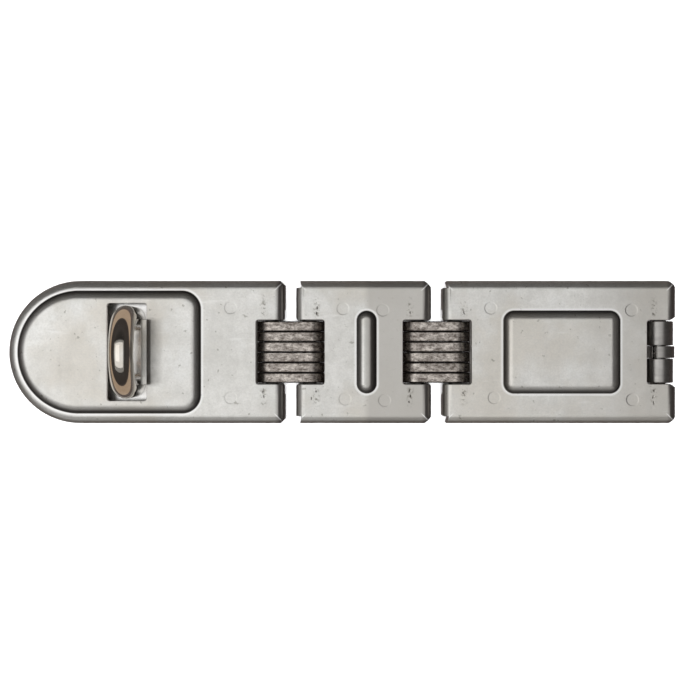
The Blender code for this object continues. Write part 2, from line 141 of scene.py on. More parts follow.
# Base hinge: a strip's laps on its flat plate, and its roll's start, end and steps
HINGE_X = sum(span("hinge_pin", 0)) / 2
PIN_Z = sum(span("hinge_pin", 2)) / 2
FLANGE_END_Z = 2.5
LEAF_SHEET = 2.0
KNUCKLE_Y = (2.0, 9.1)
LEAF_X = (span("mounting_leaf", 0)[0], HINGE_X - 5.0)
LEAF_HALF = span("mounting_leaf", 1)[1]
LEAF_CORNER = 6.0
KNUCKLE_LAP = (4.0, 1.0)
KNUCKLE_TURN = (-90, 200, 58)
TONGUE_SHEET = 2.4
TONGUE_HALF = 1.75
TONGUE_BEND = 0.7
TONGUE_LAP = 3.0
TONGUE_TURN = (190, 470, 56)
TONGUE_PLATE_X = (span("hinge_tongue", 0)[0], HINGE_X - 5.6)

# Staple
STAPLE_X = sum(span("staple_loop", 0)) / 2
STAPLE_WIRE = span("staple_loop", 0)[1] - STAPLE_X
STAPLE_LEG_Y = span("staple_loop", 1)[1] - STAPLE_WIRE
STAPLE_BOW_Z = span("staple_loop", 2)[1] - STAPLE_WIRE - STAPLE_LEG_Y
STAPLE_PLATE_X = span("staple_plate", 0)
STAPLE_PLATE_HALF = span("staple_plate", 1)[1]
STAPLE_PLATE_TOP = span("staple_plate", 2)[1]
STAPLE_PLATE_CORNER = 5.0
TENON_RADIUS = 2.7
TENON_HOLE = 3.0
TENON_CHAMFER = 0.2
TENON_FILLET = 0.15
LEG_CHAMFER = 0.25

# Countersunk screw holes: the cone's depth for each millimetre of radius, and its overcut
SCREW_RADIUS = 2.4
SINK_RADIUS = 4.4
SINK_SLOPE = 0.8
SINK_OVERCUT = 0.25
LEAF_SCREWS = ((47.0, 12.0), (47.0, -12.0), (64.5, 0.0), (82.0, 12.0), (82.0, -12.0))
STAPLE_SCREWS = ((-84.0, 10.0), (-84.0, -10.0), (-46.0, 11.5), (-46.0, -11.5))

# Shallow round spot-weld dimples over the bracket feet; each section's radius and height
WELD_SECTIONS = ((1.5, -0.15), (1.78, -0.09), (2.05, 0.0), (2.41, 0.12))
WELDS = {"hasp": [(HASP_X[1] - 15.8, 13.0), (HASP_X[1] - 15.8, -13.4)],
         "link": [(LINK_X[0] + 13.8, 12.7), (LINK_X[0] + 14.4, -13.8),
                  (LINK_X[1] - 14.3, 12.3), (LINK_X[1] - 13.8, -14.2)],
         "cover": [(COVER_X[0] + 14.0, 12.9), (COVER_X[0] + 15.0, -13.4),
                   (COVER_X[1] - 13.3, 12.3), (COVER_X[1] - 13.0, -14.0)]}

# Small stake dents beside the notches: each section's share of the size and height, then the
# half width, half length and turn of each mark, and the rows of dents along X
DENT_SECTIONS = ((0.3, -0.15), (1.0, 0.0), (1.2, 0.03))
DENT_MARKS = ((0.17, 0.55, 12.0), (0.26, 0.34, -20.0), (0.14, 0.46, 6.0),
              (0.22, 0.28, 30.0), (0.16, 0.6, -8.0))
DENTS = {"hasp": [(HASP_X[1] - 6.2, -11.6), (HASP_X[1] - 6.0, -13.0)],
         "link": [(LINK_X[0] + 6.1, 11.4), (LINK_X[0] + 6.3, 13.0), (LINK_X[0] + 6.0, -11.5),
                  (LINK_X[0] + 4.6, -13.6), (LINK_X[1] - 6.2, 11.6), (LINK_X[1] - 6.4, -11.4),
                  (LINK_X[1] - 6.1, -13.0), (LINK_X[1] - 6.5, -14.6)],
         "cover": [(COVER_X[0] + 6.2, 11.6), (COVER_X[0] + 6.0, -12.0), (COVER_X[1] - 6.9, 11.2),
                   (COVER_X[1] - 6.6, -11.4), (COVER_X[1] - 6.9, -13.2), (COVER_X[1] - 6.7, -15.0)]}
DENT_ROWS = (HASP_X[1] - 6.1, LINK_X[0] + 6.0, LINK_X[1] - 6.3, COVER_X[0] + 6.1, COVER_X[1] - 6.8)

# Widths of the rounded edges; the hasp plate's is narrower, to fit between its slot and tab
PLATE_ROUND = 0.18
HASP_ROUND = 0.12
BRACKET_ROUND = 0.2
BASE_ROUND = 0.25
LEAF_ROUND = 0.36

# Cutters: heights and a half length that go right through, and how far they pass a plate's edge
CUT_Z = (-2.0, 14.0)
CUT_HALF = 20.0
PAST_EDGE = 2.0

# Vertices nearer than this are merged after a cut, in metres
MERGE_DISTANCE = 0.000002

# Clearance between welded pieces, pitch of the leaves in a pack, and steps round a circle
GAP = 0.3
LEAF_PITCH = span("leaf_left_2", 1)[0] - span("leaf_left_1", 1)[0]
ARC_STEPS = 48


# ---------- outlines

def arc(centre_x, centre_y, radius, start, end, steps):
    """Points on a circle between two angles in degrees."""
    points = []
    for step in range(steps + 1):
        angle = math.radians(start + (end - start) * step / steps)
        points.append((centre_x + radius * math.cos(angle),
                       centre_y + radius * math.sin(angle)))
    return points


def rectangle(x_range, half, inset=0.0):
    """A sharp rectangle, anticlockwise."""
    low, high = x_range[0] + inset, x_range[1] - inset
    half -= inset
    return [(low, -half), (high, -half), (high, half), (low, half)]


def rounded(x_range, half, corner, inset=0.0, steps=10):
    """A rectangle with rounded corners, anticlockwise."""
    radius = max(corner - inset, 0.05)
    low, high = x_range[0] + inset + radius, x_range[1] - inset - radius
    side = half - inset - radius
    return (arc(high, side, radius, 0, 90, steps) + arc(low, side, radius, 90, 180, steps)
            + arc(low, -side, radius, 180, 270, steps)
            + arc(high, -side, radius, 270, 360, steps))


def round_end(x_range, centre_x, half, corner, inset=0.0, steps=ARC_STEPS):
    """A D shape: a round left end and two corners at the right, anticlockwise."""
    radius = half - inset
    points = arc(centre_x, 0.0, radius, 90, 270, steps)
    right = x_range[1] - inset
    if corner == 0.0:
        return points + [(right, -radius), (right, radius)]
    fillet = corner - inset
    points += arc(right - fillet, -radius + fillet, fillet, 270, 360, 12)
    return points + arc(right - fillet, radius - fillet, fillet, 0, 90, 12)


def obround(inset, steps=20):
    """The rib's outline, long in Y, anticlockwise."""
    radius = RIB_HALF_WIDTH - inset
    centre = RIB_HALF_LENGTH - RIB_HALF_WIDTH
    return (arc(RIB_X, centre, radius, 0, 180, steps)
            + arc(RIB_X, -centre, radius, 180, 360, steps))


def circle(centre_x, centre_y, radius, steps=ARC_STEPS):
    """Points round a whole circle."""
    return arc(centre_x, centre_y, radius, 0, 360, steps)[:-1]


# ---------- meshes

def finish_mesh(name, mesh_data, material=None):
    """Turn a bmesh in millimetres into a named object in metres."""
    bmesh.ops.scale(mesh_data, vec=(MM, MM, MM), verts=mesh_data.verts)
    mesh_data.normal_update()
    mesh = bpy.data.meshes.new(name)
    mesh_data.to_mesh(mesh)
    mesh_data.free()
    item = bpy.data.objects.new(name, mesh)
    bpy.context.scene.collection.objects.link(item)
    if material:
        mesh.materials.append(material)
    return item


def ring(mesh_data, points, place):
    """New vertices at an outline's points; place turns a point into a position."""
    return [mesh_data.verts.new(place(first, second)) for first, second in points]


def bridge(mesh_data, first, second):
    """Quads between two rings of the same count."""
    count = len(first)
    for index in range(count):
        after = (index + 1) % count
        mesh_data.faces.new((first[index], first[after], second[after], second[index]))


def loft(mesh_data, rings):
    """A closed solid through rings of the same count, capped at both ends."""
    for first, second in zip(rings, rings[1:]):
        bridge(mesh_data, first, second)
    mesh_data.faces.new(list(reversed(rings[0])))
    mesh_data.faces.new(rings[-1])


def add_prism(mesh_data, points, start, end, axis="Z"):
    """A closed prism: an XY outline along Z, or an XZ outline along Y."""
    if axis == "Z":
        low = ring(mesh_data, points, lambda x, y: (x, y, start))
        high = ring(mesh_data, points, lambda x, y: (x, y, end))
    else:
        low = ring(mesh_data, points, lambda x, z: (x, end, z))
        high = ring(mesh_data, points, lambda x, z: (x, start, z))
    loft(mesh_data, (low, high))


def prism(name, points, start, end, axis="Z", material=None):
    """One prism as an object."""
    mesh_data = bmesh.new()
    add_prism(mesh_data, points, start, end, axis)
    return finish_mesh(name, mesh_data, material)


def prisms(name, shapes, start, end, axis="Z"):
    """Several separate prisms in one tool."""
    mesh_data = bmesh.new()
    for points in shapes:
        add_prism(mesh_data, points, start, end, axis)
    return finish_mesh(name, mesh_data)


def shape(item, cuts=(), welds=()):
    """Cut and weld an item with other meshes, then remove those meshes."""
    for operation, tools in (("DIFFERENCE", cuts), ("UNION", welds)):
        for tool in tools:
            modifier = item.modifiers.new(tool.name, "BOOLEAN")
            modifier.operation = operation
            modifier.object = tool
    graph = bpy.context.evaluated_depsgraph_get()
    mesh = bpy.data.meshes.new_from_object(item.evaluated_get(graph))
    item.modifiers.clear()
    item.data = mesh
    for tool in (*cuts, *welds):
        bpy.data.objects.remove(tool)
    flat = bmesh.new()
    flat.from_mesh(mesh)
    bmesh.ops.remove_doubles(flat, verts=flat.verts, dist=MERGE_DISTANCE)
    bmesh.ops.dissolve_limit(flat, angle_limit=math.radians(0.4),
                             verts=flat.verts, edges=flat.edges)
    flat.to_mesh(mesh)
    flat.free()


def smooth(item, degrees):
    """Shade smooth, but for edges sharper than an angle."""
    item.data.shade_smooth()
    item.data.set_sharp_from_angle(angle=math.radians(degrees))


def soften(item, width):
    """Round the sharp edges by a width in millimetres and keep flat faces flat."""
    bevel = item.modifiers.new("edges", "BEVEL")
    bevel.width = width * MM
    bevel.segments = 4
    bevel.limit_method = "ANGLE"
    bevel.angle_limit = math.radians(34)
    bevel.miter_outer = "MITER_ARC"
    bevel.use_clamp_overlap = False
    shape(item)
    smooth(item, 26)
    weighted = item.modifiers.new("flat faces", "WEIGHTED_NORMAL")
    weighted.keep_sharp = True
    weighted.weight = 100


def show(item, body, node):
    """Put an item on its body, in place of a CAD node."""
    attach(item, body)
    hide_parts(node)


# ---------- pressed sheets

def flange_profile(back, steps=12):
    """Inset and height from a flange's lower edge, round its bend to the top."""
    radius = BEND - back
    profile = [(back, 0.0)]
    for step in range(steps + 1):
        angle = math.radians(90.0 * step / steps)
        profile.append((BEND - radius * math.cos(angle),
                        PLATE_TOP - BEND + radius * math.sin(angle)))
    return profile


def raised_profile(back, fillet, shoulder, slope, height, steps=10):
    """Inset and height from a raised feature's foot, up its wall to its top."""
    slope = math.radians(slope)
    straight = (height - (fillet + shoulder) * (1.0 - math.cos(slope))) / math.sin(slope)
    width = (fillet + shoulder) * math.sin(slope) + straight * math.cos(slope)
    foot = []
    rim = []
    for step in range(steps + 1):
        angle = slope * step / steps
        foot.append(((fillet + back) * math.sin(angle),
                     PLATE_TOP + fillet - (fillet + back) * math.cos(angle)))
        angle = slope - angle
        rim.append((width - (shoulder - back) * math.sin(angle),
                    PLATE_TOP + height - shoulder + (shoulder - back) * math.cos(angle)))
    return foot + rim


def stack(mesh_data, outline, profile):
    """Rings of one outline at each inset and height, joined by quads."""
    rings = [ring(mesh_data, outline(inset), lambda x, y: (x, y, height))
             for inset, height in profile]
    for first, second in zip(rings, rings[1:]):
        bridge(mesh_data, first, second)
    return rings


def pressed_sheet(name, outline, feature, feature_shape, material):
    """A folded cover with flanges, a flat top and one feature pressed up out of it."""
    mesh_data = bmesh.new()
    lower_edges = []
    for back in (0.0, SHEET):
        rims = stack(mesh_data, outline, flange_profile(back))
        walls = stack(mesh_data, feature, raised_profile(back, *feature_shape))
        edges = []
        for loop in (rims[-1], walls[0]):
            for index, corner in enumerate(loop):
                edges.append(mesh_data.edges.get((corner, loop[(index + 1) % len(loop)])))
        bmesh.ops.triangle_fill(mesh_data, use_beauty=True, edges=edges)
        mesh_data.faces.new(walls[-1])
        lower_edges.append(rims[0])
    bridge(mesh_data, *lower_edges)
    bmesh.ops.recalc_face_normals(mesh_data, faces=mesh_data.faces)
    return finish_mesh(name, mesh_data, material)


def notch(edge, inward, depth, half, flare=NOTCH_FLARE):
    """A notch open at a plate's edge; inward is +1 or -1 along X."""
    inner = edge + inward * (depth - NOTCH_CORNER)
    side = half - NOTCH_CORNER
    mouth = [(edge - inward * PAST_EDGE, half + flare[1]), (edge, half + flare[1]),
             (edge + inward * flare[0], half)]
    points = [(x, -y) for x, y in mouth]
    points += [(inner + inward * dx, dy - side) for dx, dy in arc(0, 0, NOTCH_CORNER, -90, 0, 8)]
    points += [(inner + inward * dx, dy + side) for dx, dy in arc(0, 0, NOTCH_CORNER, 0, 90, 8)]
    points += reversed(mouth)
    return points if inward > 0 else list(reversed(points))


def flange_relief(edge, inward):
    """The end flange's opening for the bracket ears."""
    reach = SHEET + RELIEF_PAST_SHEET
    return rectangle(sorted((edge - inward, edge + inward * reach)), RELIEF_HALF)


def corner_chamfer(edge, side, reach=CORNER_CHAMFER):
    """A triangle that takes the sharp outer corner off a plate's right end."""
    points = [(edge + PAST_EDGE, side * (HALF_WIDTH + PAST_EDGE)),
              (edge - (reach + PAST_EDGE), side * (HALF_WIDTH + PAST_EDGE)),
              (edge + PAST_EDGE, side * (HALF_WIDTH - reach - PAST_EDGE))]
    return points if side > 0 else list(reversed(points))


def corner_relief(edge, side):
    """The open corner between two flanges at a plate's left end."""
    points = [(edge + dx, side * (HALF_WIDTH + dy)) for dx, dy in CORNER_RELIEF]
    return points if side < 0 else list(reversed(points))


def square_corners(x_range):
    """One cutter for the open left corners and the chamfered right ones."""
    return prisms("corners", [
        corner_relief(x_range[0], 1), corner_relief(x_range[0], -1),
        corner_chamfer(x_range[1], 1), corner_chamfer(x_range[1], -1)], *CUT_Z)


def oval(centre_x, centre_y, half_width, half_length, turn, steps=20):
    """Points round a turned oval."""
    angle = math.radians(turn)
    points = []
    for x, y in circle(0.0, 0.0, 1.0, steps):
        x, y = x * half_width, y * half_length
        points.append((centre_x + x * math.cos(angle) - y * math.sin(angle),
                       centre_y + x * math.sin(angle) + y * math.cos(angle)))
    return points


def dimples(body):
    """Shallow dishes for the weld dimples and small oval dents, in one cutter."""
    marks = []
    for x, y in WELDS[body]:
        marks.append([(circle(x, y, radius), height) for radius, height in WELD_SECTIONS])
    for index, (x, y) in enumerate(DENTS[body]):
        width, length, turn = DENT_MARKS[(index + len(body)) % len(DENT_MARKS)]
        marks.append([(oval(x, y, width * share, length * share, turn), height)
                      for share, height in DENT_SECTIONS])
    mesh_data = bmesh.new()
    for sections in marks:
        loft(mesh_data, [ring(mesh_data, points, lambda px, py: (px, py, PLATE_TOP + height))
                         for points, height in sections])
    return finish_mesh("dimples", mesh_data)


def tab_outline(steps=8):
    """The tab bent up out of the raised panel beside the slot, seen along Y.

    It is sunk a hair into the panel, so that no two faces lie in one plane.
    """
    floor = PANEL_TOP - TAB_SINK
    centre_x = TAB_X + SHEET + TAB_BEND
    foot_x = centre_x + TAB_FOOT
    points = [(foot_x, floor - SHEET), (foot_x, floor)]
    points += arc(centre_x, floor + TAB_BEND, TAB_BEND, 270, 180, steps)
    points += [(TAB_X + SHEET, TAB_TOP), (TAB_X, TAB_TOP)]
    return points + arc(centre_x, floor + TAB_BEND, TAB_BEND + SHEET, 180, 270, steps)


def finish_plate(plate, body, cuts, welds=(), width=PLATE_ROUND):
    """Cut and weld a plate, mark it with its dimples, round its edges and show it."""
    shape(plate, cuts=cuts, welds=welds)
    shape(plate, cuts=(dimples(body),))
    soften(plate, width)
    show(plate, body, f"{body}_plate")


def build_cover_plate(zinc):
    """The plate over the mounting leaf: a raised panel, two notches and a cut-back heel."""
    cover = pressed_sheet(
        "cover_shell",
        lambda inset: rectangle(COVER_X, HALF_WIDTH, inset),
        lambda inset: rounded(COVER_PANEL_X, COVER_PANEL_HALF, COVER_PANEL_CORNER, inset),
        PANEL_SHAPE, zinc)
    notches = prisms("notches", [
        notch(COVER_X[0], 1, NOTCH_DEPTH, NOTCH_HALF),
        notch(COVER_X[1], -1, HINGE_NOTCH_DEPTH, HINGE_NOTCH_HALF, HINGE_NOTCH_FLARE)], *CUT_Z)
    relief = prism("relief", flange_relief(COVER_X[0], 1), CUT_Z[0], RELIEF_TOP)
    past_end = COVER_X[1] + 1.0
    swing = [(HINGE_X, -1.0), (past_end, -1.0), (past_end, FLANGE_END_Z),
             (COVER_X[1], FLANGE_END_Z), (HINGE_X, 0.0)]
    heel = prism("heel", swing, -HALF_WIDTH - PAST_EDGE, HALF_WIDTH + PAST_EDGE, "Y")
    finish_plate(cover, "cover", (notches, relief, square_corners(COVER_X), heel))


def build_link_plate(zinc):
    """The plate between the link packs: a raised rib and two notches."""
    link = pressed_sheet(
        "link_shell",
        lambda inset: rectangle(LINK_X, HALF_WIDTH, inset),
        obround,
        RIB_SHAPE, zinc)
    notches = prisms("notches", [
        notch(LINK_X[0], 1, NOTCH_DEPTH, NOTCH_HALF),
        notch(LINK_X[1], -1, NOTCH_DEPTH, NOTCH_HALF)], *CUT_Z)
    reliefs = prisms("reliefs", [
        flange_relief(LINK_X[0], 1), flange_relief(LINK_X[1], -1)], CUT_Z[0], RELIEF_TOP)
    finish_plate(link, "link", (notches, reliefs, square_corners(LINK_X)))


def build_hasp_plate(zinc):
    """The round-ended plate over the staple: a D-shaped panel, its slot and its tab."""
    hasp = pressed_sheet(
        "hasp_shell",
        lambda inset: round_end(HASP_X, HASP_END_X, HALF_WIDTH, 0.0, inset),
        lambda inset: round_end(HASP_PANEL_X, HASP_PANEL_X[0] + HASP_PANEL_HALF,
                                HASP_PANEL_HALF, HASP_PANEL_CORNER, inset),
        PANEL_SHAPE, zinc)
    notch_cut = prism("notch", notch(HASP_X[1], -1, NOTCH_DEPTH, NOTCH_HALF), *CUT_Z)
    relief = prism("relief", flange_relief(HASP_X[1], -1), CUT_Z[0], RELIEF_TOP)
    corners = prisms("corners", [
        corner_chamfer(HASP_X[1], side, HASP_CHAMFER) for side in (1, -1)], *CUT_Z)
    slot = prism("slot", rounded(SLOT_X, SLOT_HALF, SLOT_CORNER), *CUT_Z)
    tab = prism("tab", tab_outline(), -TAB_HALF, TAB_HALF, "Y")
    finish_plate(hasp, "hasp", (notch_cut, relief, corners, slot), (tab,), HASP_ROUND)


# ---------- link packs

def build_leaves(material):
    """Laminated leaves, one for each node, with stamped rounded edges."""
    for pack, body in (("left", "left_links"), ("right", "right_links")):
        for index in range(1, 7):
            node = f"leaf_{pack}_{index}"
            low_x, high_x = span(node, 0)
            low_y, high_y = span(node, 1)
            low_z, high_z = span(node, 2)
            radius = (high_z - low_z) / 2
            left, right = low_x + radius, high_x - radius
            outline = (arc(right, PIN_Z, radius, -90, 90, 32)
                       + arc(left, PIN_Z, radius, 90, 270, 32))
            leaf = prism(f"link_{pack}_{index}", outline, low_y, high_y, "Y", material)
            holes = [circle(x, PIN_Z, HOLE_RADIUS) for x in (left, right)]
            bores = prisms("bores", holes, low_y - 1.0, high_y + 1.0, "Y")
            shape(leaf, cuts=(bores,))
            soften(leaf, LEAF_ROUND)
            show(leaf, body, node)


def build_pins(material):
    """Pins with chamfered, slightly domed ends, along Y."""
    bodies = {"pin_hasp": "hasp", "pin_link_left": "link", "pin_link_right": "link",
              "pin_cover": "cover", "hinge_pin": "cover"}
    for node, body in bodies.items():
        x = sum(span(node, 0)) / 2
        half = span(node, 1)[1]
        radius = span(node, 2)[1] - PIN_Z
        profile = [(inset - half, share) for inset, share in PIN_END]
        profile += [(half - inset, share) for inset, share in reversed(PIN_END)]
        mesh_data = bmesh.new()
        loft(mesh_data, [
            ring(mesh_data, circle(x, PIN_Z, radius * share), lambda px, pz: (px, y, pz))
            for y, share in profile])
        bmesh.ops.recalc_face_normals(mesh_data, faces=mesh_data.faces)
        pin = finish_mesh(f"{node}_turned", mesh_data, material)
        smooth(pin, 50)
        show(pin, body, node)


def build_bracket(node, body, edge, inward, material):
    """A bracket welded under a plate's end: two ears, a web and two feet."""
    low, high = BRACKET_Z

    def along(distance):
        return edge + inward * distance

    def side_view(outline):
        points = [(along(distance), z) for distance, z in outline]
        return points if inward > 0 else list(reversed(points))

    ear_points = side_view(EAR_OUTLINE)
    mesh_data = bmesh.new()
    add_prism(mesh_data, ear_points, EAR_Y[0], EAR_Y[1], "Y")
    add_prism(mesh_data, ear_points, -EAR_Y[1], -EAR_Y[0], "Y")
    bracket = finish_mesh(f"{node}_bent", mesh_data, material)
    web_points = side_view([(WEB_LIP[0], EAR_BOTTOM), (WEB_X[1], EAR_BOTTOM), (WEB_X[1], high),
                            (WEB_X[0], high), (WEB_X[0], WEB_LIP[1]), (WEB_LIP[0], WEB_LIP[1])])
    web = prism("web", web_points, -EAR_Y[0] - WELD_OVERLAP, EAR_Y[0] + WELD_OVERLAP, "Y")
    foot_x = sorted((along(FOOT_X[0]), along(FOOT_X[1])))
    feet = []
    for side in (-1, 1):
        near, far = sorted((side * (EAR_Y[1] - WELD_OVERLAP), side * FOOT_Y))
        feet.append([(foot_x[0], near), (foot_x[1], near), (foot_x[1], far), (foot_x[0], far)])
    foot = prisms("feet", feet, low, high)
    shape(bracket, welds=(web, foot))
    bore = prism("bore", circle(along(PIN_INSET), PIN_Z, HOLE_RADIUS), -CUT_HALF, CUT_HALF, "Y")
    shape(bracket, cuts=(bore,))
    soften(bracket, BRACKET_ROUND)
    show(bracket, body, node)


def build_brackets(material):
    """One bracket under each plate's end that holds a link pack."""
    build_bracket("bracket_hasp", "hasp", HASP_X[1], -1, material)
    build_bracket("bracket_link_left", "link", LINK_X[0], 1, material)
    build_bracket("bracket_link_right", "link", LINK_X[1], -1, material)
    build_bracket("bracket_cover", "cover", COVER_X[0], 1, material)


# ---------- base hinge

def thick_strip(path, thickness):
    """The closed outline of a strip whose middle line is the given path."""
    left, right = [], []
    for index, (x, z) in enumerate(path):
        before = path[max(index - 1, 0)]
        after = path[min(index + 1, len(path) - 1)]
        dx, dz = after[0] - before[0], after[1] - before[1]
        length = math.hypot(dx, dz)
        nx, nz = -dz / length * thickness / 2, dx / length * thickness / 2
        left.append((x + nx, z + nz))
        right.append((x - nx, z - nz))
    return right + list(reversed(left))


def screw_sinks(places, top):
    """Countersunk holes: a shank through the plate under a cone at its top."""
    wide = SINK_RADIUS + SINK_OVERCUT
    sections = [(-1.0, SCREW_RADIUS),
                (top - (SINK_RADIUS - SCREW_RADIUS) * SINK_SLOPE, SCREW_RADIUS),
                (top + SINK_OVERCUT * SINK_SLOPE, wide), (top + 1.0, wide)]
    mesh_data = bmesh.new()
    for x, y in places:
        loft(mesh_data, [ring(mesh_data, circle(x, y, radius), lambda px, py: (px, py, z))
                         for z, radius in sections])
    return finish_mesh("sinks", mesh_data)


def build_mounting_leaf(material):
    """A flat leaf whose two strips roll round the hinge pin."""
    radius = HOLE_RADIUS + LEAF_SHEET / 2
    middle = LEAF_SHEET / 2
    path = [(LEAF_X[1] - KNUCKLE_LAP[0], middle), (LEAF_X[1] + KNUCKLE_LAP[1], middle)]
    path += arc(HINGE_X, PIN_Z, radius, *KNUCKLE_TURN)
    outline = thick_strip(path, LEAF_SHEET)
    leaf = prism("base_leaf", rounded(LEAF_X, LEAF_HALF, LEAF_CORNER), 0.0, LEAF_SHEET,
                 material=material)
    near, far = KNUCKLE_Y
    knuckles = [prism("knuckle", outline, *y_range, "Y")
                for y_range in ((-far, -near), (near, far))]
    shape(leaf, welds=knuckles)
    shape(leaf, cuts=(screw_sinks(LEAF_SCREWS, LEAF_SHEET),))
    soften(leaf, BRACKET_ROUND)
    show(leaf, "base", "mounting_leaf")


def build_hinge_tongue(material):
    """A bracket under the cover's end with a tongue rolled over the hinge pin."""
    high = PLATE_TOP - SHEET - GAP
    low = high - TONGUE_SHEET
    radius = HOLE_RADIUS + TONGUE_SHEET / 2
    middle = (low + high) / 2
    plate = prism("rolled_tongue", rectangle(TONGUE_PLATE_X, FOOT_Y), low, high,
                  material=material)
    drop = TONGUE_SHEET / 2 + TONGUE_BEND
    path = [(TONGUE_PLATE_X[1] - TONGUE_LAP, middle)]
    path += arc(HINGE_X - radius - drop, middle - drop, drop, 90, 0, 12)
    path += arc(HINGE_X, PIN_Z, radius, *TONGUE_TURN)
    outline = thick_strip(path, TONGUE_SHEET)
    tongue = prism("tongue", outline, -TONGUE_HALF, TONGUE_HALF, "Y")
    shape(plate, welds=(tongue,))
    soften(plate, BRACKET_ROUND)
    show(plate, "cover", "hinge_tongue")


# ---------- staple

def build_staple_loop(material):
    """A round bar bent into a U, its feet reduced to rivet tenons."""
    foot = STAPLE_PLATE_TOP + GAP
    legs = [(0.0, TENON_RADIUS - TENON_CHAMFER), (TENON_CHAMFER, TENON_RADIUS),
            (foot - TENON_FILLET, TENON_RADIUS), (foot, TENON_RADIUS + TENON_FILLET),
            (foot, STAPLE_WIRE - LEG_CHAMFER), (foot + LEG_CHAMFER, STAPLE_WIRE)]
    sections = [(STAPLE_LEG_Y, z, 0.0, radius) for z, radius in legs]
    steps = 72
    for step in range(steps + 1):
        angle = math.pi * step / steps
        sections.append((STAPLE_LEG_Y * math.cos(angle),
                         STAPLE_BOW_Z + STAPLE_LEG_Y * math.sin(angle), angle, STAPLE_WIRE))
    sections += [(-STAPLE_LEG_Y, z, math.pi, radius) for z, radius in reversed(legs)]
    mesh_data = bmesh.new()
    rings = []
    for y, z, angle, radius in sections:
        def place(across, outward, y=y, z=z, angle=angle):
            return (STAPLE_X + across, y + outward * math.cos(angle),
                    z + outward * math.sin(angle))
        rings.append(ring(mesh_data, circle(0.0, 0.0, radius), place))
    loft(mesh_data, rings)
    bmesh.ops.recalc_face_normals(mesh_data, faces=mesh_data.faces)
    loop = finish_mesh("staple_bow", mesh_data, material)
    smooth(loop, 40)
    show(loop, "staple", "staple_loop")
    return loop


def build_staple_plate(material):
    """The staple's base, with a round left end, tenon holes and screw holes."""
    outline = round_end(STAPLE_PLATE_X, STAPLE_PLATE_X[0] + STAPLE_PLATE_HALF, STAPLE_PLATE_HALF,
                        STAPLE_PLATE_CORNER)
    plate = prism("staple_base", outline, 0.0, STAPLE_PLATE_TOP, material=material)
    holes = [circle(STAPLE_X, y, TENON_HOLE) for y in (STAPLE_LEG_Y, -STAPLE_LEG_Y)]
    tenons = prisms("tenons", holes, -1.0, STAPLE_PLATE_TOP + 1.0)
    shape(plate, cuts=(tenons, screw_sinks(STAPLE_SCREWS, STAPLE_PLATE_TOP)))
    soften(plate, BASE_ROUND)
    show(plate, "staple", "staple_plate")


# ---------- materials

